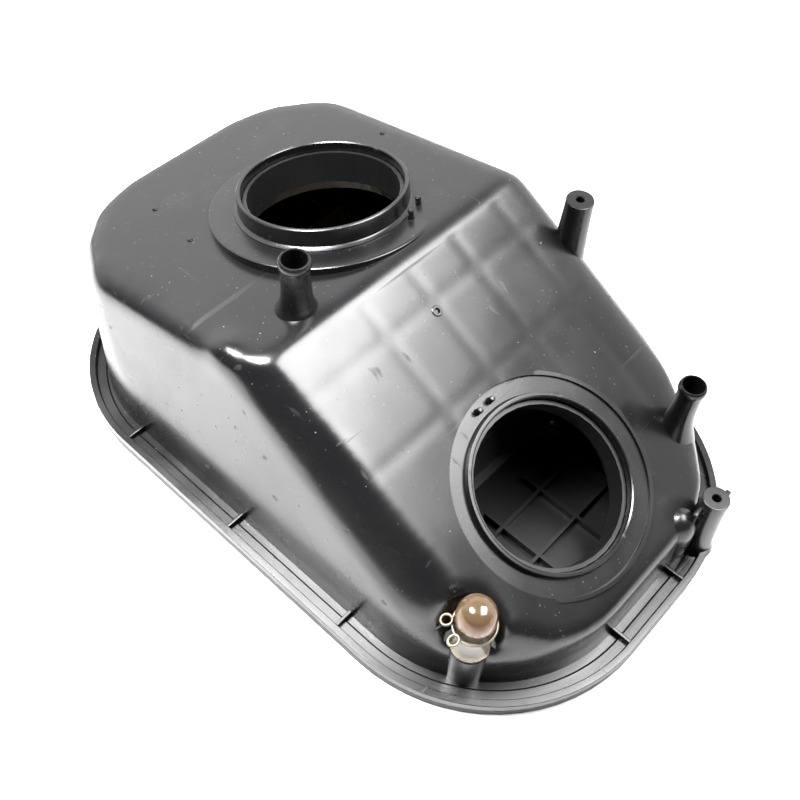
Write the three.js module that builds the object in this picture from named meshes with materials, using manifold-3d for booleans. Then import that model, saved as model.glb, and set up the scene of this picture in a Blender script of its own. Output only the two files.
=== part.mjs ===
// Air-filter housing of a V-twin motorcycle, standing upside down on its lid.
// Millimetres, +Z up. X runs from the tall rear end to the low front end, Y across.
// The origin is the middle of the rim's box, on the surface that the lid stands on.
import * as THREE from 'three';
import { mergeVertices } from 'three/addons/utils/BufferGeometryUtils.js';
import Module from 'manifold-3d';

const wasm = await Module();
wasm.setup();

// Driving dimensions
const GAP = 0.3; // between neighbouring pieces
const WALL = 2.8; // moulded wall of the case
const ROUND = 36; // facets round a port
const SMALL_ROUND = 16; // facets round a post or a spigot

const RIM = { rear: -181.7, front: 181.7, half: 119.6, rearRadius: 90, frontRadius: 95.8 };
const HULL = { rear: -173.7, front: 168.2, half: 106.5, rearRadius: 77, frontRadius: 82.5 };
const HULL_HEIGHT = 150;
const DRAFT = 0.00035; // how much of its width the hull loses for each mm of height

const LID_TOP = 4.6;
const LID_RECESS = 1.0; // the lid's panel stands this far above the surface below
const PANEL_TOP = 3.2;
const SKIRT = 2.4; // wall of the lid's skirt
const RIM_WALL = 3.8;
const CASE_FLOOR = LID_TOP + GAP;
const FLOOR_TOP = CASE_FLOOR + 2;
const RIM_TOP = 10.3;
const WEB_TOP = 9.9;
const WEB = 1.8; // thickness of a web across the channel

// Flat panels that bound the hull: a point on each, and the way each faces
const PLATEAU = { at: [-67, 0, 115], facing: [-0.191, 0, 0.982] };
const SLOPE = { at: [109.5, 0, 65.5], facing: [0.483, 0, 0.875] };
const FLANK = { at: [109.5, 85, 65.5], facing: [0.153, 0.949, 0.277] };
// Each front corner leans in by these angles, by direction round the corner, in degrees
const CORNER_LEAN = [[25, 12], [40, 22], [55, 27], [70, 26], [85, 21]];
const CORNER_FOOT = 25; // height at which the leaning starts

// Ports: the middle of the collar's rim, and the way the port faces
const REAR_PORT = { at: [-67.1, 12.1, 126.4], facing: [-0.201, 0.071, 0.977] };
const FRONT_PORT = { at: [110.8, -12.1, 67.9], facing: [0.447, -0.05, 0.893] };
const REAR = { collar: 44, bore: 41.5, pad: 59.5, stand: 10.6, padDepth: 7, tubeEnd: 20 };
const FRONT = { collar: 44.6, bore: 42, pad: 53.7, stand: 4, padDepth: 3.2, cup: 56.2, tubeEnd: 14 };
const CUP_LIP = 1.4; // how far the front cup's edge stands above its floor

// Upright posts and spigots: place, foot height, top height and radii
const SPIGOTS = [
  { at: [-16.5, -54], foot: 112, top: 156, tube: 6.7, bead: 7.7, bore: 5.6 },
  { at: [130.8, 69], foot: 38, top: 86, tube: 6.4, bead: 7.2, bore: 5.4 },
];
const POSTS = [
  { at: [35.5, 91], foot: 58, top: 130.5, radius: 7.3, flare: 10 },
  { at: [169.5, 47.5], foot: FLOOR_TOP - 1, top: 50, radius: 7, flare: 7.8 },
];
const POST_HOLE = 2.1;
const POST_HOLE_DEPTH = 18;
const BEAD_HEIGHT = 4;

const PEG = { radius: 1.5, height: 5 };
const REAR_PEGS = [32, 17.5]; // degrees round the rear port
const FRONT_PEGS = [175.8, -174]; // degrees round the front port

const DRAIN = { at: [127, -88.5], seat: 35, tube: 7.2, bore: 3.4, top: 62, pocket: 12, boss: 14.5, collar: 9.5, foot: 12 };
const CAP = { outer: 9.5, inner: 7.6, bottom: 35.4, shoulder: 66 };
const CLIP = { height: 57.5, wire: 0.75, ear: 7, clear: 0.35, turn: 40 };

const SCREW = { shank: 1.9, head: 4, headBottom: 0.6, headTop: 2.8, top: 20 };
const BOSS = { radius: 5, top: 30, hole: 2.3, holeTop: 24, inset: 4.7 };
const LID_BOSS = 6.5;
const COUNTERBORE = { radius: 4.4, top: 3.1 };
const SIDE_SCREWS = [-50, 50];

const SEAL = { outer: 5.3, inner: 8.3, bottom: 3.2 };
const GROOVE = { outer: 5, inner: 8.6, bottom: 2.9 };
const LAND = 13; // width of the lid's thick edge

const INLET = { x: -33, length: 112, width: 48, corner: 14, wall: 2, top: 12, lip: 5, lipTop: 5.4 };
const LID_RIBS_X = [92, 116, 140];
const LID_RIBS_Y = [-48, -16, 16, 48];
const LID_RIB = { width: 1.8, top: 8, rear: 80, front: 150, half: 62 };

const FRAME = { x: -33, length: 190, width: 168, wall: 3, bottom: 5, top: 41, corner: 10 };
const FRAME_LIP = { out: 5, top: 8, seal: 3.5, sealTop: 4.7 };
const FRAME_LEDGE = { inward: 4, bottom: 10, top: 12.6 };
const FRAME_BARS = { width: 3, bottom: 38, along: [-40, 0, 40], across: [-63, -21, 21, 63] };
const LUG = { radius: 6, reach: 10.5, y: 50, bottom: 10, top: 13, hole: 2.3 };
const LID_POST = { radius: 4.2, top: 9.7, holeBottom: 3.6, hole: 2.3 };
const FRAME_SCREW = { shank: 1.9, head: 3.8, tip: 4, seat: 13.3, top: 15.6 };
const MEDIA = { bottom: 13, top: 35, pleats: 26, paper: 1.3, clear: 2.3 };
const SCREEN = { bottom: 36.4, top: 37.4, columns: 7, rows: 6, bar: 2.4, clear: 0.5 };

const COLOURS = {
  case: { color: 0x1b1b1d, roughness: 0.38, metalness: 0 },
  lid: { color: 0x18181a, roughness: 0.42, metalness: 0 },
  funnel: { color: 0x141416, roughness: 0.5, metalness: 0 },
  rubber: { color: 0x0f0f10, roughness: 0.75, metalness: 0 },
  frame: { color: 0x222225, roughness: 0.55, metalness: 0 },
  media: { color: 0x6d5a3c, roughness: 0.95, metalness: 0 },
  screen: { color: 0x3a3a3c, roughness: 0.5, metalness: 0.7 },
  cap: { color: 0xc2a878, roughness: 0.25, metalness: 0 },
  steel: { color: 0xb9b9b4, roughness: 0.3, metalness: 1 },
};

// Solids
function solid(geometry) {
  let plain = geometry.index ? geometry.toNonIndexed() : geometry.clone();
  for (const name of ['normal', 'uv']) {
    plain.deleteAttribute(name);
  }
  plain = mergeVertices(plain, 1e-4);
  return new wasm.Manifold(new wasm.Mesh({
    numProp: 3,
    vertProperties: new Float32Array(plain.attributes.position.array),
    triVerts: new Uint32Array(plain.index.array),
  }));
}

function union(solids) {
  return solids.reduce((sum, piece) => sum.add(piece));
}

function cut(body, tools) {
  return tools.reduce((rest, tool) => rest.subtract(tool), body);
}

function geometryOf(body) {
  const mesh = body.getMesh();
  const geometry = new THREE.BufferGeometry();
  geometry.setAttribute('position', new THREE.BufferAttribute(mesh.vertProperties, 3));
  geometry.setIndex(new THREE.BufferAttribute(mesh.triVerts, 1));
  geometry.computeVertexNormals();
  return geometry;
}

function block(length, width, bottom, top, x = 0, y = 0) {
  const geometry = new THREE.BoxGeometry(length, width, top - bottom);
  return solid(geometry.translate(x, y, (bottom + top) / 2));
}

function rod(radius, bottom, top, x = 0, y = 0, facets = SMALL_ROUND, topRadius = radius) {
  const geometry = new THREE.CylinderGeometry(topRadius, radius, top - bottom, facets);
  return solid(geometry.rotateX(Math.PI / 2).translate(x, y, (bottom + top) / 2));
}

// Moves a geometry or a solid built along +Z so that its origin is at a port and +Z is its axis
function portMatrix(port) {
  const facing = new THREE.Vector3(...port.facing).normalize();
  const turn = new THREE.Quaternion().setFromUnitVectors(new THREE.Vector3(0, 0, 1), facing);
  return new THREE.Matrix4().compose(new THREE.Vector3(...port.at), turn, new THREE.Vector3(1, 1, 1));
}

function portRod(port, radius, bottom, top, facets = ROUND) {
  const geometry = new THREE.CylinderGeometry(radius, radius, top - bottom, facets);
  geometry.rotateX(Math.PI / 2).translate(0, 0, (bottom + top) / 2);
  return solid(geometry.applyMatrix4(portMatrix(port)));
}

// Rounded plan outline, moved inwards by inset
function outline(plan, inset = 0) {
  const shape = new THREE.Shape();
  const rear = plan.rearRadius - inset;
  const front = plan.frontRadius - inset;
  const rearX = plan.rear + plan.rearRadius;
  const frontX = plan.front - plan.frontRadius;
  const rearY = plan.half - plan.rearRadius;
  const frontY = plan.half - plan.frontRadius;
  shape.absarc(rearX, -rearY, rear, Math.PI, 1.5 * Math.PI);
  shape.absarc(frontX, -frontY, front, -0.5 * Math.PI, 0);
  shape.absarc(frontX, frontY, front, 0, 0.5 * Math.PI);
  shape.absarc(rearX, rearY, rear, 0.5 * Math.PI, Math.PI);
  shape.closePath();
  return shape;
}

function plate(shape, bottom, top, curveSegments = 8) {
  const geometry = new THREE.ExtrudeGeometry(shape, { depth: top - bottom, bevelEnabled: false, curveSegments });
  return solid(geometry.translate(0, 0, bottom));
}

function ring(plan, outer, inner, bottom, top) {
  return plate(outline(plan, outer), bottom, top).subtract(plate(outline(plan, inner), bottom - 1, top + 1));
}

function roundedRectangle(length, width, corner, x = 0) {
  const shape = new THREE.Shape();
  const a = length / 2 - corner;
  const b = width / 2 - corner;
  shape.absarc(x - a, -b, corner, Math.PI, 1.5 * Math.PI);
  shape.absarc(x + a, -b, corner, -0.5 * Math.PI, 0);
  shape.absarc(x + a, b, corner, 0, 0.5 * Math.PI);
  shape.absarc(x - a, b, corner, 0.5 * Math.PI, Math.PI);
  shape.closePath();
  return shape;
}

// Everything on the far side of a plane, as one big block
function beyond(plane, depth = 0) {
  const size = 700;
  const facing = new THREE.Vector3(...plane.facing).normalize();
  const turn = new THREE.Quaternion().setFromUnitVectors(new THREE.Vector3(0, 0, 1), facing);
  const place = new THREE.Vector3(...plane.at).addScaledVector(facing, -depth);
  const geometry = new THREE.BoxGeometry(size, size, size / 2).translate(0, 0, size / 4);
  return solid(geometry.applyQuaternion(turn).translate(place.x, place.y, place.z));
}

// The hull's outer form, or its hollow when inset by the wall
function hull(inset, bottom) {
  const geometry = new THREE.ExtrudeGeometry(outline(HULL, inset), {
    depth: HULL_HEIGHT,
    bevelEnabled: false,
    curveSegments: 8,
  });
  geometry.translate(0, 0, bottom);
  const position = geometry.attributes.position;
  for (let i = 0; i < position.count; i += 1) {
    const shrink = 1 - DRAFT * (position.getZ(i) - CASE_FLOOR);
    position.setXY(i, position.getX(i) * shrink, position.getY(i) * shrink);
  }
  const tools = [beyond(PLATEAU, inset), beyond(SLOPE, inset)];
  const cornerX = HULL.front - HULL.frontRadius;
  const cornerY = HULL.half - HULL.frontRadius;
  for (const side of [-1, 1]) {
    const [x, y, z] = FLANK.facing;
    tools.push(beyond({ at: [FLANK.at[0], side * FLANK.at[1], FLANK.at[2]], facing: [x, side * y, z] }, inset));
    for (const [direction, lean] of CORNER_LEAN) {
      const round = THREE.MathUtils.degToRad(direction);
      const tilt = THREE.MathUtils.degToRad(lean);
      const away = [Math.cos(round), side * Math.sin(round)];
      tools.push(beyond({
        at: [cornerX + HULL.frontRadius * away[0], side * cornerY + HULL.frontRadius * away[1], CORNER_FOOT],
        facing: [away[0] * Math.cos(tilt), away[1] * Math.cos(tilt), Math.sin(tilt)],
      }, inset));
    }
  }
  return cut(solid(geometry), tools);
}

// Screw places: one in each corner and two along each side
function screwPlaces() {
  const places = [];
  const reach = BOSS.inset + WALL;
  for (const side of [-1, 1]) {
    const diagonal = Math.SQRT1_2;
    const rear = (HULL.rearRadius - reach) * diagonal;
    const front = (HULL.frontRadius - reach) * diagonal;
    places.push([HULL.rear + HULL.rearRadius - rear, side * (HULL.half - HULL.rearRadius + rear)]);
    for (const x of SIDE_SCREWS) {
      places.push([x, side * (HULL.half - reach)]);
    }
    places.push([HULL.front - HULL.frontRadius + front, side * (HULL.half - HULL.frontRadius + front)]);
  }
  return places;
}

const lugPlaces = [];
for (const end of [-1, 1]) {
  for (const side of [-1, 1]) {
    lugPlaces.push([FRAME.x + end * (FRAME.length / 2 + LUG.reach), side * LUG.y]);
  }
}

// Lower case: one moulding with both ports, the posts, the spigots and the channelled rim
function web(x, y, length, width) {
  return block(length, width, CASE_FLOOR + 0.5, WEB_TOP, x, y);
}

function channelWebs() {
  const webs = [];
  const reach = RIM.half - HULL.half;
  const sideY = (RIM.half + HULL.half) / 2 - 0.5;
  for (const side of [-1, 1]) {
    for (const x of [-91.6, -11, 68]) {
      webs.push(web(x, side * sideY, WEB, reach));
    }
    webs.push(web((RIM.front + HULL.front) / 2 - 0.5, side * 23.5, reach, WEB));
    webs.push(web((RIM.rear + HULL.rear) / 2 + 0.5, side * 26, HULL.rear - RIM.rear, WEB));
  }
  return webs;
}

function flange() {
  return union([
    plate(outline(RIM), CASE_FLOOR, FLOOR_TOP),
    ring(RIM, 0, RIM_WALL, CASE_FLOOR, RIM_TOP),
    ...channelWebs(),
  ]);
}

function pegs(port, size, angles, radius) {
  return angles.map((angle) => {
    const round = THREE.MathUtils.degToRad(angle);
    const geometry = new THREE.CylinderGeometry(PEG.radius, PEG.radius, PEG.height + 2, 10);
    geometry.rotateX(Math.PI / 2);
    geometry.translate(radius * Math.cos(round), radius * Math.sin(round), -size.stand + PEG.height / 2 - 1);
    return solid(geometry.applyMatrix4(portMatrix(port)));
  });
}

function lowerCase() {
  const outside = hull(0, CASE_FLOOR);
  const inside = hull(WALL, 0);
  const beside = plate(outline(HULL, -3.5), CASE_FLOOR, DRAIN.seat + 1).subtract(inside);
  const drainBoss = rod(DRAIN.boss, DRAIN.foot, DRAIN.seat + 30, ...DRAIN.at, 24);
  let body = union([outside, flange(), portRod(REAR_PORT, REAR.pad, -REAR.stand - REAR.padDepth, -REAR.stand)]);
  body = cut(body, [portRod(FRONT_PORT, FRONT.pad, -FRONT.stand, 40), inside]);
  body = union([
    body,
    drainBoss.intersect(outside),
    rod(DRAIN.collar, CASE_FLOOR + 1, DRAIN.seat, ...DRAIN.at, 24).intersect(beside),
    portRod(REAR_PORT, REAR.collar, -REAR.tubeEnd, 0),
    portRod(FRONT_PORT, FRONT.cup, -FRONT.stand - FRONT.padDepth, CUP_LIP - FRONT.stand),
    portRod(FRONT_PORT, FRONT.collar, -FRONT.tubeEnd, -FRONT.stand),
  ]);
  body = cut(body, [
    portRod(FRONT_PORT, FRONT.pad, -FRONT.stand, 40),
    rod(DRAIN.pocket, DRAIN.seat, DRAIN.seat + 60, ...DRAIN.at, 24),
  ]);
  const roots = [];
  const additions = [
    portRod(FRONT_PORT, FRONT.collar, -FRONT.stand - 1, 0),
    ...pegs(REAR_PORT, REAR, REAR_PEGS, 48.8),
    ...pegs(FRONT_PORT, FRONT, FRONT_PEGS, 49.3),
    rod(DRAIN.tube, DRAIN.foot + 2, DRAIN.top, ...DRAIN.at),
  ];
  for (const spigot of SPIGOTS) {
    roots.push(rod(spigot.tube, spigot.foot, spigot.top, ...spigot.at));
    additions.push(rod(spigot.bead, spigot.top - BEAD_HEIGHT, spigot.top - 0.6, ...spigot.at));
  }
  for (const post of POSTS) {
    roots.push(rod(post.flare, post.foot, post.top, ...post.at, SMALL_ROUND, post.radius));
  }
  for (const place of screwPlaces()) {
    additions.push(rod(BOSS.radius, CASE_FLOOR, BOSS.top, ...place, 12).intersect(outside));
  }
  const bores = [
    portRod(REAR_PORT, REAR.bore, -REAR.tubeEnd - 20, 20),
    portRod(FRONT_PORT, FRONT.bore, -FRONT.tubeEnd - 20, 20),
    rod(DRAIN.bore, DRAIN.foot - 6, DRAIN.top + 5, ...DRAIN.at, 16),
  ];
  for (const spigot of SPIGOTS) {
    bores.push(rod(spigot.bore, spigot.foot - 10, spigot.top + 5, ...spigot.at));
  }
  for (const post of POSTS) {
    bores.push(rod(POST_HOLE, post.top - POST_HOLE_DEPTH, post.top + 5, ...post.at, 12));
  }
  for (const place of screwPlaces()) {
    bores.push(rod(BOSS.hole, 0, BOSS.holeTop, ...place, 8));
  }
  // The posts' and spigots' roots end at the wall, so none hangs into the hollow
  additions.push(union(roots).subtract(inside));
  return cut(union([body, ...additions]), bores);
}

// Lid: shallow tray with ribs, a seal groove, screw bosses and the air inlet
function lidRibs() {
  const ribs = [];
  for (const x of LID_RIBS_X) {
    ribs.push(block(LID_RIB.width, 2 * LID_RIB.half, PANEL_TOP - 1, LID_RIB.top, x, 0));
  }
  for (const y of LID_RIBS_Y) {
    const length = LID_RIB.front - LID_RIB.rear;
    ribs.push(block(length, LID_RIB.width, PANEL_TOP - 1, LID_RIB.top, LID_RIB.rear + length / 2, y));
  }
  return ribs;
}

function topCover() {
  const body = union([
    plate(outline(RIM), LID_RECESS, PANEL_TOP),
    ring(RIM, 0, LAND, LID_RECESS, LID_TOP),
    ring(RIM, 0, SKIRT, 0, LID_TOP),
    ...lidRibs(),
    ...screwPlaces().map((place) => rod(LID_BOSS, LID_RECESS, LID_TOP, ...place, 12)),
    ...lugPlaces.map((place) => rod(LID_POST.radius, PANEL_TOP - 1, LID_POST.top, ...place, 12)),
  ]);
  const mouth = roundedRectangle(INLET.length, INLET.width, INLET.corner, INLET.x);
  return cut(body, [
    ring(RIM, GROOVE.outer, GROOVE.inner, GROOVE.bottom, LID_TOP + 1),
    plate(mouth, -1, LID_TOP + 1, 5),
    ...screwPlaces().map((place) => rod(COUNTERBORE.radius, -1, COUNTERBORE.top, ...place, 12)),
    ...screwPlaces().map((place) => rod(BOSS.hole, 0, LID_TOP + 1, ...place, 8)),
    ...lugPlaces.map((place) => rod(LID_POST.hole, LID_POST.holeBottom, LID_POST.top + 1, ...place, 8)),
  ]);
}

function coverSeal() {
  return ring(RIM, SEAL.outer, SEAL.inner, SEAL.bottom, LID_TOP);
}

function inletDuct() {
  const outer = [INLET.length - 2 * GAP, INLET.width - 2 * GAP, INLET.corner - GAP];
  const inner = outer.map((size, i) => size - (i < 2 ? 2 : 1) * INLET.wall);
  const lip = outer.map((size, i) => size + (i < 2 ? 2 : 1) * INLET.lip);
  const body = union([
    plate(roundedRectangle(...outer, INLET.x), LID_RECESS + GAP, INLET.top, 5),
    plate(roundedRectangle(...lip, INLET.x), PANEL_TOP + GAP, INLET.lipTop, 5),
  ]);
  return body.subtract(plate(roundedRectangle(...inner, INLET.x), -1, INLET.top + 1, 5));
}

function coverScrew([x, y]) {
  const socket = rod(1.8, SCREW.headBottom - 1, SCREW.headTop - 0.7, x, y, 6);
  return union([
    rod(SCREW.head, SCREW.headBottom, SCREW.headTop, x, y, 12),
    rod(SCREW.shank, SCREW.headTop - 0.5, SCREW.top, x, y, 8),
  ]).subtract(socket);
}

// Filter element: frame, pleated paper, wire screen, foot seal and its four screws
function frameRectangle(out, corner = FRAME.corner) {
  return roundedRectangle(FRAME.length + 2 * out, FRAME.width + 2 * out, corner + out, FRAME.x);
}

function filterFrame() {
  const opening = plate(frameRectangle(-FRAME.wall), FRAME.bottom - 1, FRAME.top + 1, 3);
  let body = union([
    plate(frameRectangle(0), FRAME.bottom, FRAME.top, 3),
    plate(frameRectangle(FRAME_LIP.out), FRAME.bottom, FRAME_LIP.top, 3),
    ...lugPlaces.map((place) => rod(LUG.radius, LUG.bottom, LUG.top, ...place, 12)),
  ]).subtract(opening);
  for (const [x, y] of lugPlaces) {
    const inward = Math.sign(FRAME.x - x) * LUG.reach;
    body = body.add(block(LUG.reach + 1, 2 * LUG.radius, LUG.bottom, LUG.top, x + inward / 2, y));
  }
  const ledge = plate(frameRectangle(-1), FRAME_LEDGE.bottom, FRAME_LEDGE.top, 3);
  body = body.add(ledge.subtract(plate(frameRectangle(-FRAME.wall - FRAME_LEDGE.inward), 0, 50, 3)));
  for (const y of FRAME_BARS.along) {
    body = body.add(block(FRAME.length - 2, FRAME_BARS.width, FRAME_BARS.bottom, FRAME.top, FRAME.x, y));
  }
  for (const x of FRAME_BARS.across) {
    body = body.add(block(FRAME_BARS.width, FRAME.width - 2, FRAME_BARS.bottom, FRAME.top, FRAME.x + x, 0));
  }
  return cut(body, lugPlaces.map((place) => rod(LUG.hole, 0, LUG.top + 1, ...place, 8)));
}

function filterSeal() {
  const outer = plate(frameRectangle(FRAME_LIP.out - 1), FRAME_LIP.seal, FRAME_LIP.sealTop, 3);
  return outer.subtract(plate(frameRectangle(-1), 0, 50, 3));
}

function filterMedia() {
  const length = FRAME.length - 2 * (FRAME.wall + MEDIA.clear);
  const width = FRAME.width - 2 * (FRAME.wall + MEDIA.clear);
  const pitch = length / MEDIA.pleats;
  const start = FRAME.x - length / 2;
  const top = [];
  const bottom = [];
  for (let i = 0; i <= 2 * MEDIA.pleats; i += 1) {
    const x = start + (i * pitch) / 2;
    const crest = i % 2 === 1;
    top.push(new THREE.Vector2(x, crest ? MEDIA.top : MEDIA.bottom + 2 * MEDIA.paper));
    bottom.push(new THREE.Vector2(x, crest ? MEDIA.top - 2 * MEDIA.paper : MEDIA.bottom));
  }
  const shape = new THREE.Shape([...bottom, ...top.reverse()]);
  const geometry = new THREE.ExtrudeGeometry(shape, { depth: width, bevelEnabled: false });
  return solid(geometry.rotateX(Math.PI / 2).translate(0, width / 2, 0));
}

function filterScreen() {
  const inset = -FRAME.wall - SCREEN.clear;
  const length = FRAME.length + 2 * inset - 2 * SCREEN.bar;
  const width = FRAME.width + 2 * inset - 2 * SCREEN.bar;
  const stepX = length / SCREEN.columns;
  const stepY = width / SCREEN.rows;
  const holes = [];
  for (let i = 0; i < SCREEN.columns; i += 1) {
    for (let j = 0; j < SCREEN.rows; j += 1) {
      const x = FRAME.x - length / 2 + (i + 0.5) * stepX;
      const y = -width / 2 + (j + 0.5) * stepY;
      holes.push(block(stepX - SCREEN.bar, stepY - SCREEN.bar, 0, SCREEN.top + 1, x, y));
    }
  }
  return cut(plate(frameRectangle(inset), SCREEN.bottom, SCREEN.top, 3), holes);
}

function filterScrew([x, y]) {
  return union([
    rod(FRAME_SCREW.head, FRAME_SCREW.seat, FRAME_SCREW.top, x, y, 12),
    rod(FRAME_SCREW.shank, FRAME_SCREW.tip, FRAME_SCREW.seat + 0.5, x, y, 8),
  ]).subtract(rod(1.7, FRAME_SCREW.top - 1.2, FRAME_SCREW.top + 1, x, y, 6));
}

// Intake funnel: a sleeve inside the collar that opens into a bell mouth below it
function funnel(port, size) {
  const sleeve = size.bore - GAP;
  const wall = 2;
  const under = -size.tubeEnd - GAP;
  const profile = [
    [sleeve - wall, -5],
    [sleeve - wall, under - 2],
    [sleeve + 0.6, under - 7.5],
    [sleeve + 6.5, under - 9.5],
    [sleeve + 6.5, under - 7.5],
    [sleeve + 3, under - 5.5],
    [sleeve + 1, under - 2],
    [sleeve, under - 1],
    [sleeve, -5],
    [sleeve - wall, -5],
  ].map(([radius, height]) => new THREE.Vector2(radius, height));
  const geometry = new THREE.LatheGeometry(profile, ROUND).rotateX(Math.PI / 2);
  return solid(geometry.applyMatrix4(portMatrix(port)));
}

// Drain cap: soft see-through tube with a domed end, pushed over the drain spigot
function drainCap() {
  const profile = [new THREE.Vector2(CAP.inner, CAP.bottom), new THREE.Vector2(CAP.outer, CAP.bottom)];
  const steps = 6;
  for (let i = 0; i <= steps; i += 1) {
    const rise = (i / steps) * Math.PI * 0.5;
    profile.push(new THREE.Vector2(CAP.outer * Math.cos(rise), CAP.shoulder + CAP.outer * Math.sin(rise)));
  }
  profile[profile.length - 1].x = 0;
  for (let i = steps; i >= 0; i -= 1) {
    const rise = (i / steps) * Math.PI * 0.5;
    profile.push(new THREE.Vector2(CAP.inner * Math.cos(rise), CAP.shoulder + CAP.inner * Math.sin(rise)));
  }
  profile[profile.length - steps - 1].x = 0;
  profile.push(profile[0].clone());
  const geometry = new THREE.LatheGeometry(profile, 22).rotateX(Math.PI / 2);
  return solid(geometry.translate(...DRAIN.at, 0));
}

// Drain clip: one spring wire round the cap, its ends crossing into two ears to pinch
function drainClip() {
  const radius = CAP.outer + CLIP.clear + CLIP.wire;
  const points = [];
  const opening = THREE.MathUtils.degToRad(16);
  const steps = 26;
  for (let i = 0; i <= steps; i += 1) {
    const angle = Math.PI + opening + (i / steps) * 2 * (Math.PI - opening);
    points.push(new THREE.Vector3(radius * Math.cos(angle), radius * Math.sin(angle), (i / steps - 0.5) * 3));
  }
  const first = points[0];
  const last = points[points.length - 1];
  const away = new THREE.Vector3(-CLIP.ear, 0, 0);
  points.unshift(first.clone().add(away).add(new THREE.Vector3(0, -1.5, -1)));
  points.push(last.clone().add(away).add(new THREE.Vector3(0, 1.5, 1)));
  const curve = new THREE.CatmullRomCurve3(points, false, 'centripetal');
  const wire = new THREE.Shape();
  wire.absarc(0, 0, CLIP.wire, 0, 2 * Math.PI);
  const geometry = new THREE.ExtrudeGeometry(wire, {
    extrudePath: curve,
    steps: 56,
    curveSegments: 3,
    bevelEnabled: false,
  });
  geometry.rotateZ(THREE.MathUtils.degToRad(CLIP.turn));
  return solid(geometry.translate(...DRAIN.at, CLIP.height));
}

// Assembly
const housing = new THREE.Group();

function place(name, body, finish) {
  const mesh = new THREE.Mesh(geometryOf(body), new THREE.MeshStandardMaterial(COLOURS[finish]));
  mesh.name = name;
  housing.add(mesh);
}

place('lower_case', lowerCase(), 'case');
place('top_cover', topCover(), 'lid');
place('cover_seal', coverSeal(), 'rubber');
place('inlet_duct', inletDuct(), 'rubber');
place('filter_frame', filterFrame(), 'frame');
place('filter_seal', filterSeal(), 'rubber');
place('filter_media', filterMedia(), 'media');
place('filter_screen', filterScreen(), 'screen');
place('funnel_rear', funnel(REAR_PORT, REAR), 'funnel');
place('funnel_front', funnel(FRONT_PORT, FRONT), 'funnel');
place('drain_cap', drainCap(), 'cap');
place('drain_clip', drainClip(), 'steel');
screwPlaces().forEach((spot, i) => place(`cover_screw_${i + 1}`, coverScrew(spot), 'steel'));
lugPlaces.forEach((spot, i) => place(`filter_screw_${i + 1}`, filterScrew(spot), 'steel'));

export default housing;
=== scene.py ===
import bpy
import bmesh
import math
from mathutils import Matrix, Vector


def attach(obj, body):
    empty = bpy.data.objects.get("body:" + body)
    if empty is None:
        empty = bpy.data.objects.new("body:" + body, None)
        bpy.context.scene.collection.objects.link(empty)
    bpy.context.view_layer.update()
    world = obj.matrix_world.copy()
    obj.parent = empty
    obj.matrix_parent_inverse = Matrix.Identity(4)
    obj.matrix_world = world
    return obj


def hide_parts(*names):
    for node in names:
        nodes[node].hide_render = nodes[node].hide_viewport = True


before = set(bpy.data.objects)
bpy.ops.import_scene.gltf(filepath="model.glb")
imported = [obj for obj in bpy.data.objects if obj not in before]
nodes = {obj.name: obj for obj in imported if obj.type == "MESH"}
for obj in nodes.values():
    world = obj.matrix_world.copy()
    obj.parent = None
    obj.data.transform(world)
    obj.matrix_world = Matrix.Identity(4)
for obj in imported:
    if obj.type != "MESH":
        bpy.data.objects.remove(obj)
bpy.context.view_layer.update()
scene = bpy.context.scene

# ---------------------------------------------------------------------------------------------
# Studio: a white paper floor, one big softbox over the far side, a small one over the near side
# and a pale wall behind. The room on the near side is dark.
# ---------------------------------------------------------------------------------------------
scene.view_settings.view_transform = "Standard"

CAMERA_PLACE = Vector((0.2138, -0.2559, 0.4674))
CAMERA_TURN = 39.47  # degrees round the object
CAMERA_TILT = 53.46  # degrees down from level
CAMERA_ROLL = 3.85
lens = bpy.data.cameras.new("camera")
lens.lens = 45
lens.sensor_width = 36
lens.clip_start = 0.02
lens.clip_end = 50
camera = bpy.data.objects.new("camera", lens)
scene.collection.objects.link(camera)
camera.matrix_world = (
    Matrix.Translation(CAMERA_PLACE)
    @ Matrix.Rotation(math.radians(CAMERA_TURN), 4, "Z")
    @ Matrix.Rotation(math.radians(90 - CAMERA_TILT), 4, "X")
    @ Matrix.Rotation(math.radians(CAMERA_ROLL), 4, "Z")
)
scene.camera = camera

bpy.ops.object.select_all(action="DESELECT")
bpy.ops.mesh.primitive_plane_add(size=12)
floor = bpy.context.object
floor.name = "floor"
paper = bpy.data.materials.new("white_paper")
paper.use_nodes = True
paper_finish = paper.node_tree.nodes["Principled BSDF"]
paper_finish.inputs["Base Color"].default_value = (0.6, 0.6, 0.6, 1)
paper_finish.inputs["Roughness"].default_value = 0.9
floor.data.materials.append(paper)


def softbox(name, place, target, width, height, power, spread=180):
    """A soft lamp at a place in metres, aimed at a target."""
    light = bpy.data.lights.new(name, "AREA")
    light.shape = "RECTANGLE"
    light.size = width
    light.size_y = height
    light.energy = power
    light.spread = math.radians(spread)
    lamp = bpy.data.objects.new(name, light)
    lamp.location = place
    lamp.rotation_euler = (Vector(target) - Vector(place)).to_track_quat("-Z", "Y").to_euler()
    scene.collection.objects.link(lamp)


softbox("far_softbox", (0.4, 0.4, 1.19), (0, 0, 0.08), 0.8, 0.6, 40)
softbox("near_softbox", (-0.27, -0.24, 1.0), (-0.17, -0.22, 0), 0.34, 0.34, 12, 70)

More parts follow.
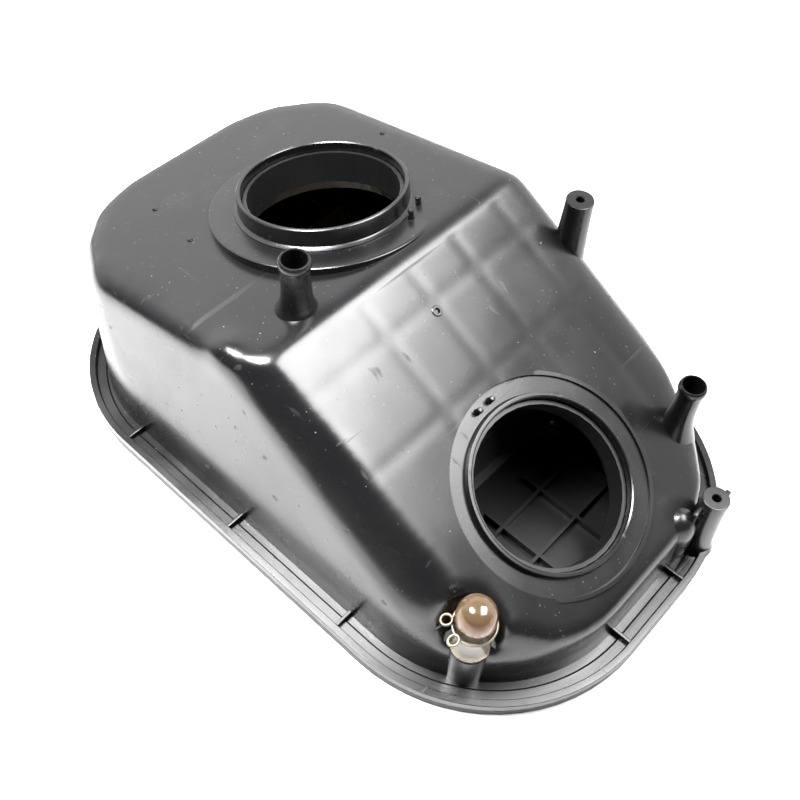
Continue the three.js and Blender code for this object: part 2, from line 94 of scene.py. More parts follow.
world = bpy.data.worlds.new("studio")
scene.world = world
world.use_nodes = True
sky = world.node_tree
sky.nodes.clear()
direction = sky.nodes.new("ShaderNodeTexCoord")
towards_wall = sky.nodes.new("ShaderNodeVectorMath")
towards_wall.operation = "DOT_PRODUCT"
towards_wall.inputs[1].default_value = (-0.55, 0.83, 0.0)
brightness = sky.nodes.new("ShaderNodeMapRange")
brightness.interpolation_type = "SMOOTHSTEP"
brightness.inputs["From Min"].default_value = -0.15
brightness.inputs["From Max"].default_value = 0.45
brightness.inputs["To Min"].default_value = 0.25
brightness.inputs["To Max"].default_value = 2.7
back = sky.nodes.new("ShaderNodeBackground")
output = sky.nodes.new("ShaderNodeOutputWorld")
sky.links.new(direction.outputs["Generated"], towards_wall.inputs[0])
sky.links.new(towards_wall.outputs["Value"], brightness.inputs["Value"])
height = sky.nodes.new("ShaderNodeSeparateXYZ")
overhead = sky.nodes.new("ShaderNodeMapRange")  # the wall ends below the dark ceiling
overhead.interpolation_type = "SMOOTHSTEP"
overhead.inputs["From Min"].default_value = 0.55
overhead.inputs["From Max"].default_value = 0.8
overhead.inputs["To Min"].default_value = 1
overhead.inputs["To Max"].default_value = 0.25
strength = sky.nodes.new("ShaderNodeMath")
strength.operation = "MULTIPLY"
sky.links.new(direction.outputs["Generated"], height.inputs["Vector"])
sky.links.new(height.outputs["Z"], overhead.inputs["Value"])
sky.links.new(brightness.outputs["Result"], strength.inputs[0])
sky.links.new(overhead.outputs["Result"], strength.inputs[1])
sky.links.new(strength.outputs["Value"], back.inputs["Strength"])
sky.links.new(back.outputs["Background"], output.inputs["Surface"])

# ---------------------------------------------------------------------------------------------
# Lower case: one deep moulding in black plastic, with both collars, the posts, the spigots and
# the channelled rim. Its tool gives every wall draft and lets the panels run softly together.
# Screws through the lid hold it.
# ---------------------------------------------------------------------------------------------
MM = 0.001
RIM = {"rear": -181.7, "front": 181.7, "half": 119.6, "rear_radius": 90, "front_radius": 95.8}
HULL = {"rear": -173.7, "front": 168.2, "half": 106.5, "rear_radius": 77, "front_radius": 82.5}
CASE_FLOOR = 4.9
WALL = 2.8
DRAFT = 0.00035  # share of its width that the hull loses for each mm of height
BELOW = 60  # the block runs this far under the rim while its edges are softened
ABOVE = 150
SKIN_GRID = 2.2  # mesh spacing of the outer skin and of the space inside it
HOLLOW_GRID = 5
SOFTENING = 28  # rounds of smoothing that round the edges
RECESS_MARGIN = 1.6  # extra width of the drain's recess while the edges are softened
PLATEAU = ((-67, 0, 115), (-0.191, 0, 0.982))
SLOPE = ((109.5, 0, 65.5), (0.483, 0, 0.875))
SIDE_LEAN = 5  # degrees; the side walls also lean in
SIDE_FOOT = 25
# Facets between a panel and a side wall: the panel, side, half width of its edge, turn from it
FACETS = [
    (PLATEAU, 1, 89, 60), (PLATEAU, 1, 84, 35),
    (PLATEAU, -1, 96, 60), (PLATEAU, -1, 91, 35),
    (SLOPE, 1, 89, 57), (SLOPE, 1, 84, 35),
    (SLOPE, -1, 85, 34), (SLOPE, -1, 88, 50), (SLOPE, -1, 94, 65),
]
NEAR_CORNER = [(25, 12), (40, 18), (55, 18), (70, 10)]  # directions round the corner and leans
FAR_CORNER = [(25, 12), (40, 22), (55, 24), (70, 20)]
CORNER_FOOT = 25
REAR_LEAN = [(100, 14), (112, 24), (125, 30), (140, 31), (155, 27), (170, 20)]
REAR_FOOT = 84
REAR_PORT = ((-67.1, 12.1, 126.4), (-0.201, 0.071, 0.977))
FRONT_PORT = ((110.8, -12.1, 67.9), (0.447, -0.05, 0.893))
SIDE_POST = (35.5, 91)
FRONT_POST = (169.5, 47.5)
REAR_SPIGOT = (-16.5, -54)
FRONT_SPIGOT = (130.8, 69)
DRAIN = (127, -88.5)
DRAIN_SEAT = 35
EAR_REACH = 12.6  # the clip's two loops stand this far from the drain's axis
EAR_WAYS = (215, 262)


def only(thing):
    """Makes one object the selected and active one."""
    bpy.ops.object.select_all(action="DESELECT")
    thing.select_set(True)
    bpy.context.view_layer.objects.active = thing


def placed(thing):
    """Moves an object's place into its mesh."""
    only(thing)
    bpy.ops.object.transform_apply(location=True, rotation=True, scale=True)
    return thing


def modified(thing, kind, **settings):
    """Adds a modifier and applies it."""
    only(thing)
    modifier = thing.modifiers.new(kind, kind)
    for key, value in settings.items():
        setattr(modifier, key, value)
    bpy.ops.object.modifier_apply(modifier=modifier.name)
    return thing


def copied(thing, name):
    twin = thing.copy()
    twin.data = thing.data.copy()
    twin.name = name
    scene.collection.objects.link(twin)
    return twin


def joined(body, *tools, cut=False):
    """Welds closed solids to a body, or cuts them out of it."""
    for tool in tools:
        modified(
            body,
            "BOOLEAN",
            object=tool,
            operation="DIFFERENCE" if cut else "UNION",
            solver="MANIFOLD",
        )
        bpy.data.objects.remove(tool)
    return body


def box(name, low, high):
    bpy.ops.object.select_all(action="DESELECT")
    low, high = Vector(low) * MM, Vector(high) * MM
    bpy.ops.mesh.primitive_cube_add(size=1, location=(low + high) / 2)
    block = bpy.context.object
    block.name = name
    block.scale = high - low
    return placed(block)


def rounded_block(name, plan, bottom, top, segments=24):
    """A block with its upright corners rounded in plan."""
    block = box(name, (plan["rear"], -plan["half"], bottom), (plan["front"], plan["half"], top))
    for end in ("rear", "front"):
        bpy.ops.object.mode_set(mode="EDIT")
        bpy.ops.mesh.select_mode(type="EDGE")
        bpy.ops.mesh.select_all(action="DESELECT")
        mesh = bmesh.from_edit_mesh(block.data)
        for edge in mesh.edges:
            a, b = (v.co for v in edge.verts)
            upright = abs(a.x - b.x) < 0.1 * MM and abs(a.y - b.y) < 0.1 * MM
            edge.select = upright and abs(a.x - plan[end] * MM) < 0.1 * MM
        bmesh.update_edit_mesh(block.data)
        bpy.ops.mesh.bevel(
            offset=plan[end + "_radius"] * MM, segments=segments, profile=0.5, clamp_overlap=False
        )
        bpy.ops.object.mode_set(mode="OBJECT")
    return block


def inset_face(block, facing, steps):
    """Steps an end face inwards: each step is (width, rise) in mm."""
    only(block)
    bpy.ops.object.mode_set(mode="EDIT")
    bpy.ops.mesh.select_mode(type="FACE")
    bpy.ops.mesh.select_all(action="DESELECT")
    mesh = bmesh.from_edit_mesh(block.data)
    end = max(
        (f for f in mesh.faces if f.normal.z * facing > 0.99), key=lambda f: f.calc_area()
    )
    end.select = True
    bmesh.update_edit_mesh(block.data)
    for width, rise in steps:
        bpy.ops.mesh.inset(thickness=width * MM, depth=rise * MM, use_even_offset=True)
    bpy.ops.object.mode_set(mode="OBJECT")


def cut_beyond(block, place, facing):
    """Cuts off what lies beyond a plane and closes the cut."""
    only(block)
    bpy.ops.object.mode_set(mode="EDIT")
    bpy.ops.mesh.select_all(action="SELECT")
    bpy.ops.mesh.bisect(
        plane_co=[x * MM for x in place], plane_no=facing, use_fill=True, clear_outer=True
    )
    bpy.ops.object.mode_set(mode="OBJECT")


def seat(port):
    """The matrix that sets a turned part on a port: its origin and its axis."""
    place, facing = port
    turn = Vector((0, 0, 1)).rotation_difference(Vector(facing))
    return Matrix.Translation(Vector(place) * MM) @ turn.to_matrix().to_4x4()


def upright(place, height=0):
    return Matrix.Translation(Vector((*place, height)) * MM)


def turned(name, profile, matrix, segments=128, ring=False):
    """Turns an outline of (radius, height) pairs round +Z; a ring's outline ends where it began."""
    bpy.ops.object.select_all(action="DESELECT")
    radius, height = profile[0]
    bpy.ops.mesh.primitive_circle_add(
        vertices=segments,
        radius=radius * MM,
        fill_type="NOTHING" if ring else "NGON",
        location=(0, 0, height * MM),
    )
    piece = placed(bpy.context.object)
    piece.name = name
    bpy.ops.object.mode_set(mode="EDIT")
    bpy.ops.mesh.select_mode(type="VERT")
    bpy.ops.mesh.select_all(action="SELECT")
    for (r0, z0), (r1, z1) in zip(profile, profile[1:]):
        bpy.ops.mesh.extrude_region_move(TRANSFORM_OT_translate={"value": (0, 0, (z1 - z0) * MM)})
        bpy.ops.transform.resize(value=(r1 / r0, r1 / r0, 1), center_override=(0, 0, 0))
    bpy.ops.mesh.select_all(action="SELECT")
    if ring:
        bpy.ops.mesh.remove_doubles(threshold=0.001 * MM)
    bpy.ops.mesh.normals_make_consistent(inside=False)
    bpy.ops.object.mode_set(mode="OBJECT")
    piece.matrix_world = matrix
    return placed(piece)


# The skin: a block cut to its panels, then remeshed and rubbed down so that the edges soften
skin = rounded_block("case", HULL, -BELOW, ABOVE)
for vertex in skin.data.vertices:
    share = 1 - DRAFT * (vertex.co.z / MM - CASE_FLOOR)
    vertex.co.x *= share
    vertex.co.y *= share
cut_beyond(skin, *PLATEAU)
cut_beyond(skin, *SLOPE)
for (place, facing), side, edge, turn in FACETS:
    t = math.radians(turn)
    out = Vector(facing).normalized() * math.cos(t) + Vector((0, side * math.sin(t), 0))
    cut_beyond(skin, (place[0], side * edge, place[2]), out)
for side in (-1, 1):
    t = math.radians(SIDE_LEAN)
    foot = (0, side * HULL["half"], SIDE_FOOT)
    cut_beyond(skin, foot, (0, side * math.cos(t), math.sin(t)))
front_corner = (HULL["front"] - HULL["front_radius"], HULL["front_radius"], CORNER_FOOT)
rear_corner = (HULL["rear"] + HULL["rear_radius"], HULL["rear_radius"], REAR_FOOT)
for side, (corner_x, radius, foot_height), leans in (
    (-1, front_corner, NEAR_CORNER),
    (1, front_corner, FAR_CORNER),
    (-1, rear_corner, REAR_LEAN),
    (1, rear_corner, REAR_LEAN),
):
    for way, lean in leans:
        out = Vector((math.cos(math.radians(way)), side * math.sin(math.radians(way)), 0))
        foot = Vector((corner_x, side * (HULL["half"] - radius), foot_height)) + out * radius
        tip = Vector((0, 0, math.sin(math.radians(lean))))
        cut_beyond(skin, foot, out * math.cos(math.radians(lean)) + tip)


def drain_hollow(widen):
    """The recess round the drain, with two bays that the clip's loops slide down in."""
    space = turned(
        "pocket", [(12 + widen, DRAIN_SEAT), (12.3 + widen, DRAIN_SEAT + 50)], upright(DRAIN), 64
    )
    for way in EAR_WAYS:
        a = math.radians(way)
        centre = (DRAIN[0] + EAR_REACH * math.cos(a), DRAIN[1] + EAR_REACH * math.sin(a))
        joined(space, turned("bay", [(4.8 + widen, 42), (4.9 + widen, 85)], upright(centre), 32))
    return space


joined(skin, drain_hollow(RECESS_MARGIN), cut=True)
modified(skin, "REMESH", mode="VOXEL", voxel_size=SKIN_GRID * MM)
modified(skin, "SMOOTH", factor=0.5, iterations=SOFTENING)

hollow = copied(skin, "hollow")
modified(hollow, "REMESH", mode="VOXEL", voxel_size=HOLLOW_GRID * MM)
modified(hollow, "DISPLACE", strength=-WALL * MM, mid_level=0)
cut_beyond(hollow, (0, 0, -BELOW / 3), (0, 0, -1))

# Sink marks: the ribs under the slope draw its face in a little along their lines
SINK_DEPTH = 0.16
SINK_WIDTH = 3.2
SINK_ACROSS = (-32, 0, 32, 65)
SINK_ALONG = (20, 58)
SINK_ALONG_SHARE = 0.7
SINK_REAR = 2
SINK_FRONT = 150
SLOPE_REACH = 1.2  # a spot this near to the slope's plane belongs to it
slope_place, slope_facing = (Vector(v) for v in SLOPE)
slope_facing.normalize()
for vertex in skin.data.vertices:
    spot = vertex.co / MM
    on_slope = abs((spot - slope_place).dot(slope_facing)) < SLOPE_REACH
    if on_slope and SINK_REAR < spot.x < SINK_FRONT:
        line_y = min(abs(spot.y - y) for y in SINK_ACROSS)
        line_x = min(abs(spot.x - x) for x in SINK_ALONG)
        draw_y = math.exp(-((line_y / SINK_WIDTH) ** 2))
        draw_x = SINK_ALONG_SHARE * math.exp(-((line_x / SINK_WIDTH) ** 2))
        vertex.co -= slope_facing * SINK_DEPTH * MM * min(draw_y + draw_x, 1)

# A soft lump stands at the near end of the crease
LUMP = Vector((-24, -92, 119))
LUMP_SIZE = 9
LUMP_RISE = 3
LUMP_WAY = Vector((-0.1, -0.35, 0.93))
for vertex in skin.data.vertices:
    away = (vertex.co / MM - LUMP).length / LUMP_SIZE
    if away < 3:
        vertex.co += LUMP_WAY * LUMP_RISE * MM * math.exp(-away * away)

cut_beyond(skin, (0, 0, CASE_FLOOR + 1), (0, 0, -1))

# The rim: bead, channel and ledge, stepped in from the top of a plate, then its webs
RIM_TOP = 10.3
flange = rounded_block("flange", RIM, CASE_FLOOR, RIM_TOP)
BEAD = (3.7, 0)  # each step is (width, rise): bead, drop, channel, ledge line, channel
CHANNEL = [(0.2, -3.4), (5.2, 0), (0.3, -0.7), (7, 0)]
inset_face(flange, 1, [BEAD, *CHANNEL])
modified(
    flange,
    "BEVEL",
    width=0.7 * MM,
    segments=3,
    limit_method="ANGLE",
    angle_limit=math.radians(40),
)
WEB_TOP = 9.9
WEB = 0.9  # half of a web's thickness
WEB_FOOT = 5.5
webs = []
for side in (-1, 1):
    for x in (-91.6, -11, 68):
        reach = sorted((side * 103, side * 117.5))
        webs.append(box("web", (x - WEB, reach[0], WEB_FOOT), (x + WEB, reach[1], WEB_TOP)))
    webs.append(box("web", (164, side * 23.5 - WEB, WEB_FOOT), (179.5, side * 23.5 + WEB, WEB_TOP)))
    webs.append(box("web", (-179.5, side * 26 - WEB, WEB_FOOT), (-171, side * 26 + WEB, WEB_TOP)))
for web in webs:
    modified(web, "BEVEL", width=0.35 * MM, segments=2)

rear_pad = turned(
    "rear_pad",
    [(58.8, -19), (59.6, -12), (59.5, -11.1), (59.0, -10.7), (58.2, -10.6)],
    seat(REAR_PORT),
)
front_recess = turned("front_recess", [(53.6, -4), (53.7, -3.6), (53.9, 30)], seat(FRONT_PORT))
side_post = turned(
    "side_post",
    [(8.6, 52), (9.6, 60), (10.3, 68), (10.3, 75), (9.4, 86), (8.5, 98), (7.8, 111),
     (7.35, 124), (7.3, 129.7), (7.1, 130.3), (6.7, 130.5)],
    upright(SIDE_POST),
    48,
)
front_post = turned(
    "front_post",
    [(10.5, 5.5), (9.6, 8), (8.6, 12), (8.0, 18), (7.5, 28), (7.1, 40), (7.0, 49.2),
     (6.8, 49.8), (6.4, 50)],
    upright(FRONT_POST),
    48,
)
rear_spigot = turned(
    "rear_spigot",
    [(11.5, 112), (11.0, 122), (9.9, 125.2), (8.6, 127.6), (7.7, 131), (7.1, 137), (6.8, 145),
     (6.7, 151.3), (7.2, 151.7), (7.6, 152.3), (7.7, 153.2), (7.6, 154.6), (7.2, 155.5), (6.6, 156)],
    upright(REAR_SPIGOT),
    64,
)
front_spigot = turned(
    "front_spigot",
    [(13, 40), (11.2, 46), (9.4, 51), (8.0, 56), (7.1, 61), (6.6, 67), (6.4, 74), (6.4, 81.2),
     (6.8, 81.6), (7.1, 82.2), (7.2, 83.0), (7.1, 84.6), (6.8, 85.5), (6.2, 86)],
    upright(FRONT_SPIGOT),
    64,
)
case = joined(skin, flange, *webs, rear_pad, side_post, front_post, rear_spigot, front_spigot)
joined(case, front_recess, hollow, cut=True)

# Collars, the cup round the front one, and the boss and spigot of the drain
rear_collar = turned(
    "rear_collar",
    [(43.6, -20), (44, -19.6), (44, -13), (46.4, -10.8), (46.2, -10.0), (45.0, -9.6), (44.2, -9.0),
     (44, -8), (44, -1.0), (43.8, -0.4), (43.3, 0)],
    seat(REAR_PORT),
)
front_cup = turned(
    "front_cup",
    [(54.0, -7.4), (55.6, -7.0), (56.3, -5), (56.3, -3.2), (56.0, -2.7), (55.4, -2.5)],
    seat(FRONT_PORT),
)
front_cup_floor = turned("front_cup_floor", [(53.6, -4), (53.7, -3.6), (53.7, 30)], seat(FRONT_PORT))
front_collar = turned(
    "front_collar",
    [(44.2, -14), (44.6, -13.6), (44.6, -5.4), (45.4, -4.3), (45.0, -3.8), (44.6, -3.2), (44.6, -0.8),
     (44.3, -0.2), (43.9, 0)],
    seat(FRONT_PORT),
)
joined(case, front_cup)
joined(case, front_cup_floor, cut=True)
joined(case, front_collar, rear_collar)


def peg(port, drop, angle, radius):
    """A short round-topped locating peg beside a collar."""
    a = math.radians(angle)
    away = Vector((radius * math.cos(a), radius * math.sin(a), -drop))
    outline = [(1.9, -1.5), (1.8, 0.2), (1.5, 0.7), (1.5, 4.2), (1.3, 4.8), (0.8, 5.1)]
    return turned("peg", outline, seat(port) @ Matrix.Translation(away * MM), 24)


joined(case, *[peg(REAR_PORT, 10.6, a, 48.8) for a in (32, 17.5)])
joined(case, *[peg(FRONT_PORT, 4, a, 49.3) for a in (175.8, -174)])

boss_outline = [(9.4, CASE_FLOOR + 1), (9.5, DRAIN_SEAT - 0.8), (8.8, DRAIN_SEAT)]
boss = turned("boss", boss_outline, upright(DRAIN), 64)
drain_spigot = turned("drain_spigot", [(7.2, 20), (7.2, 61), (6.8, 61.7), (6.2, 62)], upright(DRAIN), 64)
joined(case, drain_hollow(0), cut=True)
joined(case, boss, drain_spigot)

# Small moulded marks: a ringed dimple on the slope, pips on the plateau, a knuckle by the post
PIPS = [(-134, -45), (-97.6, -51), (-84.8, 75.6)]
plateau_place, plateau_facing = (Vector(v) for v in PLATEAU)
for x, y in PIPS:
    height = plateau_place.z - (x - plateau_place.x) * plateau_facing.x / plateau_facing.z
    spot = seat(((x, y, height), plateau_facing))
    joined(case, turned("pip", [(1.5, -2), (1.4, 0.3), (1.1, 0.7), (0.6, 0.85)], spot, 20))
dimple = seat(((23.9, -2.2, 112.8), slope_facing))
joined(case, turned("ring", [(2.9, -2), (2.8, 0.2), (2.4, 0.45), (2.0, 0.45)], dimple, 32))
joined(case, turned("dimple", [(0.9, -0.8), (1.5, 0.1), (1.8, 3)], dimple, 32), cut=True)
knuckle = turned(
    "knuckle",
    [(9.5, 6), (9.5, 27), (9.1, 31), (8.0, 34.5), (6.3, 37), (4.2, 38.7), (2.0, 39.5), (0.3, 39.7)],
    upright((161, 35)),
    40,
)
fin = box("fin", (165, 36, 6), (167.4, 44, 44))
tab = box("tab", (170, 52, 42), (173, 57, 48.5))
for lump in (fin, tab):
    modified(lump, "BEVEL", width=0.6 * MM, segments=2)
joined(case, knuckle, fin, tab)

bores = [
    turned("bore", [(41.5, -60), (41.5, -1.0), (41.7, -0.4), (42.2, 0), (42.2, 10)], seat(REAR_PORT)),
    turned("bore", [(42, -60), (42, -1.2), (42.2, -0.5), (42.8, 0), (42.8, 10)], seat(FRONT_PORT)),
    turned("bore", [(5.6, 100), (5.6, 155.2), (6.0, 156), (6.0, 160)], upright(REAR_SPIGOT), 48),
    turned("bore", [(5.4, 30), (5.4, 85.2), (5.8, 86), (5.8, 90)], upright(FRONT_SPIGOT), 48),
    turned("bore", [(2.1, 112), (2.1, 130), (2.5, 130.5), (2.5, 134)], upright(SIDE_POST), 32),
    turned("bore", [(2.1, 32), (2.1, 49.5), (2.5, 50), (2.5, 54)], upright(FRONT_POST), 32),
    turned("bore", [(3.4, -4), (3.4, 61.5), (3.9, 62), (3.9, 66)], upright(DRAIN), 32),
]
joined(case, *bores, cut=True)
only(case)
bpy.ops.object.shade_smooth_by_angle(angle=math.radians(32))
modified(case, "WEIGHTED_NORMAL", keep_sharp=True)


def finish(name, colour, roughness):
    """A principled material and its node tree."""
    material = bpy.data.materials.new(name)
    material.use_nodes = True
    tree = material.node_tree
    shader = tree.nodes["Principled BSDF"]
    shader.inputs["Base Color"].default_value = (*colour, 1)
    shader.inputs["Roughness"].default_value = roughness
    return material, tree, shader


def noise(tree, scale, detail=4, stretch=(1, 1, 1), turn=0):
    """Noise in the object's own coordinates, scale per metre."""
    place = tree.nodes.new("ShaderNodeTexCoord")
    mapping = tree.nodes.new("ShaderNodeMapping")
    mapping.inputs["Scale"].default_value = stretch
    mapping.inputs["Rotation"].default_value = (0, 0, math.radians(turn))
    texture = tree.nodes.new("ShaderNodeTexNoise")
    texture.inputs["Scale"].default_value = scale
    texture.inputs["Detail"].default_value = detail
    tree.links.new(place.outputs["Object"], mapping.inputs["Vector"])
    tree.links.new(mapping.outputs["Vector"], texture.inputs["Vector"])
    return texture.outputs["Fac"]


def remap(tree, source, low, high, to_low, to_high):
    """Maps a range of a value on to another range, clamped."""
    node = tree.nodes.new("ShaderNodeMapRange")
    node.inputs["From Min"].default_value = low
    node.inputs["From Max"].default_value = high
    node.inputs["To Min"].default_value = to_low
    node.inputs["To Max"].default_value = to_high
    tree.links.new(source, node.inputs["Value"])
    return node.outputs["Result"]


def combine(tree, operation, a, b):
    node = tree.nodes.new("ShaderNodeMath")
    node.operation = operation
    tree.links.new(a, node.inputs[0])
    tree.links.new(b, node.inputs[1])
    return node.outputs["Value"]


def tinted(tree, shader, share, low, high):
    """Colours a surface between two colours by a value."""
    node = tree.nodes.new("ShaderNodeMix")
    node.data_type = "RGBA"
    node.inputs["A"].default_value = (*low, 1)
    node.inputs["B"].default_value = (*high, 1)
    tree.links.new(share, node.inputs["Factor"])
    tree.links.new(node.outputs["Result"], shader.inputs["Base Color"])


def raised(tree, shader, height, distance, strength=1):
    """Bumps a surface by a height value; the distance is in mm."""
    node = tree.nodes.new("ShaderNodeBump")
    node.inputs["Strength"].default_value = strength
    node.inputs["Distance"].default_value = distance * MM
    tree.links.new(height, node.inputs["Height"])
    tree.links.new(node.outputs["Normal"], shader.inputs["Normal"])


def worn_plastic(name, colour, roughness, dust_colour=(0.11, 0.105, 0.095), wear=1, grain=0.02):
    """Black moulding: uneven gloss, fine scratches two ways, specks of dust and a faint grain."""
    material, tree, shader = finish(name, colour, roughness)
    patches = remap(tree, noise(tree, 22, 5), 0.35, 0.7, roughness - 0.035, roughness + 0.05 * wear)
    scratch_a = remap(tree, noise(tree, 160, 2, (1, 0.03, 1), 24), 0.69, 0.74, 0, 0.16 * wear)
    scratch_b = remap(tree, noise(tree, 190, 2, (0.03, 1, 0.6), -15), 0.70, 0.76, 0, 0.14 * wear)
    scratches = combine(tree, "MAXIMUM", scratch_a, scratch_b)
    tree.links.new(combine(tree, "ADD", patches, scratches), shader.inputs["Roughness"])
    specks = remap(tree, noise(tree, 900, 1), 0.76, 0.8, 0, 0.8 * wear)
    smears = remap(tree, noise(tree, 35, 8), 0.6, 0.85, 0, 0.035 * wear)
    tinted(tree, shader, combine(tree, "MAXIMUM", specks, smears), colour, dust_colour)
    waves = remap(tree, noise(tree, 14, 2), 0, 1, 0, 1)
    fine = remap(tree, noise(tree, 2400, 2), 0, 1, 0, grain)
    raised(tree, shader, combine(tree, "ADD", waves, fine), 0.35)
    return material


def coated(thing, material):
    """Gives an object one material."""
    thing.data.materials.clear()
    thing.data.materials.append(material)


black = worn_plastic("case_plastic", (0.003, 0.003, 0.0034), 0.25, wear=1.5)
coated(case, black)
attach(case, "case")
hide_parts("lower_case")

# ---------------------------------------------------------------------------------------------
# Lid: the ribbed cover that the case stands on, moulded in the same black plastic but less worn,
# with its seal in a groove, its rubber inlet duct through the floor and eight screws from below.
# ---------------------------------------------------------------------------------------------
lid_black = worn_plastic("lid_plastic", (0.003, 0.003, 0.0034), 0.36, wear=0.6)
lid_black.node_tree.nodes["Principled BSDF"].inputs["Specular IOR Level"].default_value = 0.2
coated(nodes["top_cover"], lid_black)


def rubber(name, roughness, grain_scale):
    """Black rubber with a bloom in its low spots and a pebbled grain."""
    material, tree, shader = finish(name, (0.012, 0.012, 0.013), roughness)
    bloom = remap(tree, noise(tree, 60, 6), 0.5, 0.8, 0, 0.5)
    tinted(tree, shader, bloom, (0.010, 0.010, 0.011), (0.05, 0.05, 0.048))
    raised(tree, shader, noise(tree, grain_scale, 3), 0.08)
    return material


coated(nodes["cover_seal"], rubber("seal_rubber", 0.6, 1500))
coated(nodes["filter_seal"], bpy.data.materials["seal_rubber"])
coated(nodes["inlet_duct"], rubber("duct_rubber", 0.52, 700))


def metal(name, colour, roughness, stretch, dirt):
    """Bright metal with drawn lines and dirt or dulled plating in patches."""
    material, tree, shader = finish(name, colour, roughness)
    shader.inputs["Metallic"].default_value = 1
    lines = noise(tree, 1200, 3, stretch)
    streaks = remap(tree, lines, 0.3, 0.7, roughness - 0.08, roughness + 0.12)
    tree.links.new(streaks, shader.inputs["Roughness"])
    dull = tuple(c * 0.45 for c in colour)
    tinted(tree, shader, remap(tree, noise(tree, 120, 6), 0.52, 0.75, 0, dirt), colour, dull)
    raised(tree, shader, lines, 0.02)
    return material


screw_steel = metal("screw_steel", (0.55, 0.55, 0.54), 0.34, (1, 1, 0.1), 0.6)
for name, node in nodes.items():
    if "screw_" in name:
        coated(node, screw_steel)

# ---------------------------------------------------------------------------------------------
# Funnels: satin black liners pressed into both collars from inside, each ending in a bell.
# ---------------------------------------------------------------------------------------------
funnel_black = worn_plastic("funnel_plastic", (0.005, 0.005, 0.0055), 0.4, wear=0.5, grain=0.05)
coated(nodes["funnel_rear"], funnel_black)
coated(nodes["funnel_front"], funnel_black)

# ---------------------------------------------------------------------------------------------
# Filter element: a grained black frame screwed to the lid, with oiled pleated paper bonded into
# it and a dark wire screen over the clean side.
# ---------------------------------------------------------------------------------------------
coated(
    nodes["filter_frame"],
    worn_plastic("frame_plastic", (0.012, 0.012, 0.013), 0.48, wear=0.4, grain=0.12),
)
paper_brown, tree, shader = finish("filter_paper", (0.36, 0.27, 0.15), 0.85)
fibres = combine(tree, "ADD", noise(tree, 1800, 6, (1, 0.3, 1)), noise(tree, 90, 4))
tinted(tree, shader, remap(tree, fibres, 0.7, 1.3, 0, 1), (0.25, 0.17, 0.08), (0.47, 0.37, 0.22))
raised(tree, shader, fibres, 0.15)
coated(nodes["filter_media"], paper_brown)
coated(nodes["filter_screen"], metal("screen_steel", (0.2, 0.2, 0.21), 0.4, (1, 0.2, 1), 0.5))

# ---------------------------------------------------------------------------------------------
# Drain cap: a soft see-through plastic thimble pushed over the drain spigot, stained amber by
# oil, that is pulled off to drain the case.
# ---------------------------------------------------------------------------------------------
CAP_OUTLINE = [
    (7.6, 35.4), (9.3, 35.4), (9.5, 35.7), (9.5, 37.8), (9.2, 38.3), (9.2, 63.4),
    (9.45, 64), (9.5, 65.2), (9.35, 66.2), (9.2, 68.2), (8.6, 70.4), (7.5, 72.4),
    (5.9, 74.1), (3.9, 75.1), (1.6, 75.5), (0.05, 75.5), (0.05, 73.8), (1.5, 73.8),
    (3.4, 73.4), (5, 72.4), (6.3, 70.8), (7.1, 68.8), (7.5, 66.2), (7.6, 63),
    (7.6, 35.4),
]
cap = turned("drain_cap_visual", CAP_OUTLINE, upright(DRAIN), 72, ring=True)
only(cap)
bpy.ops.object.shade_smooth_by_angle(angle=math.radians(40))
amber, tree, shader = finish("cap_plastic", (0.9, 0.82, 0.66), 0.16)
shader.inputs["Transmission Weight"].default_value = 0.8
shader.inputs["IOR"].default_value = 1.45
shader.inputs["Coat Weight"].default_value = 0.3
place = tree.nodes.new("ShaderNodeTexCoord")
height = tree.nodes.new("ShaderNodeSeparateXYZ")
tree.links.new(place.outputs["Object"], height.inputs["Vector"])
wander = remap(tree, noise(tree, 180, 5), 0.3, 0.7, -2 * MM, 2 * MM)
level = combine(tree, "ADD", height.outputs["Z"], wander)
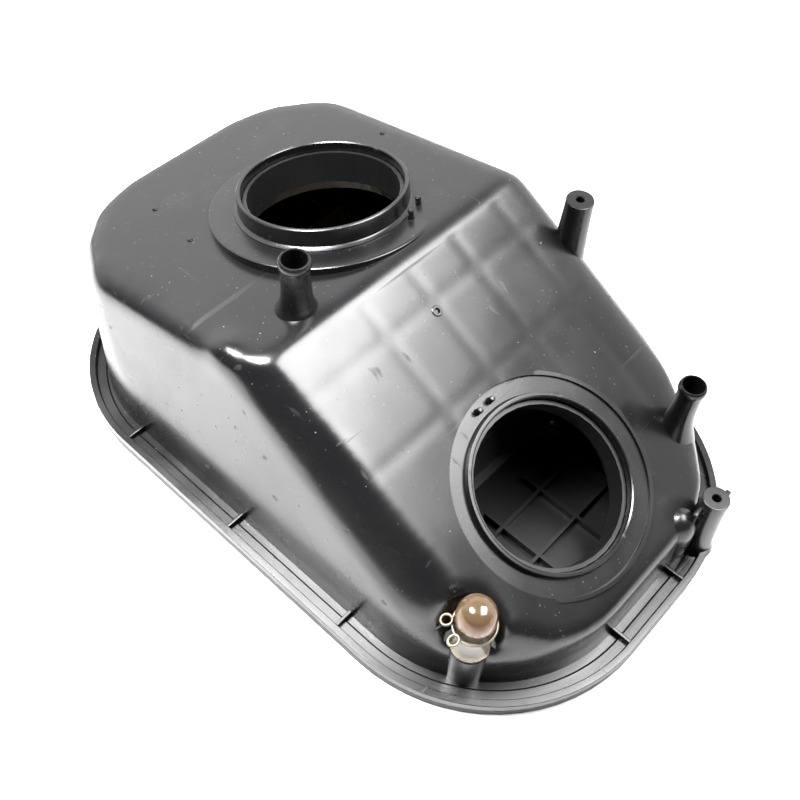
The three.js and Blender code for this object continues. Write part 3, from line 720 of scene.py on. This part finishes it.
stain = remap(tree, level, 62 * MM, 67.5 * MM, 0, 1)
fade = remap(tree, level, 67.5 * MM, 73 * MM, 1, 0.25)
ring = combine(tree, "MULTIPLY", stain, fade)
tinted(tree, shader, ring, (0.27, 0.21, 0.13), (0.3, 0.11, 0.02))
tree.links.new(remap(tree, noise(tree, 90, 5), 0.35, 0.7, 0.1, 0.3), shader.inputs["Roughness"])
raised(tree, shader, noise(tree, 220, 4), 0.12)
coated(cap, amber)
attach(cap, "cap")
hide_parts("drain_cap")

# ---------------------------------------------------------------------------------------------
# Drain clip: a ring of zinc plated spring wire round the cap, its two ends bent to finger loops.
# ---------------------------------------------------------------------------------------------
CLIP_HEIGHT = 57.5
CLIP_RADIUS = 10.0
WIRE = 0.6
bpy.ops.object.select_all(action="DESELECT")
bpy.ops.mesh.primitive_torus_add(
    major_radius=CLIP_RADIUS * MM, minor_radius=WIRE * MM, major_segments=96, minor_segments=16
)
clip = bpy.context.object
clip.name = "drain_clip_visual"
clip.matrix_world = upright(DRAIN, CLIP_HEIGHT) @ Matrix.Rotation(math.radians(7), 4, "X")
placed(clip)
for way, size, stretch in zip(EAR_WAYS, (2.6, 2.2), (1.0, 1.2)):
    a = math.radians(way)
    bpy.ops.object.select_all(action="DESELECT")
    bpy.ops.mesh.primitive_torus_add(
        major_radius=size * MM, minor_radius=WIRE * MM, major_segments=48, minor_segments=16
    )
    ear = bpy.context.object
    centre = (DRAIN[0] + EAR_REACH * math.cos(a), DRAIN[1] + EAR_REACH * math.sin(a))
    ear.matrix_world = (
        upright(centre, CLIP_HEIGHT + 0.4)
        @ Matrix.Rotation(a, 4, "Z")
        @ Matrix.Rotation(math.radians(12), 4, "Y")
        @ Matrix.Diagonal((stretch, 1, 1, 1))
    )
    joined(clip, placed(ear))
only(clip)
bpy.ops.object.shade_smooth_by_angle(angle=math.radians(50))
coated(clip, metal("clip_steel", (0.2, 0.18, 0.14), 0.45, (1, 1, 0.1), 0.7))
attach(clip, "clip")
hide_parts("drain_clip")
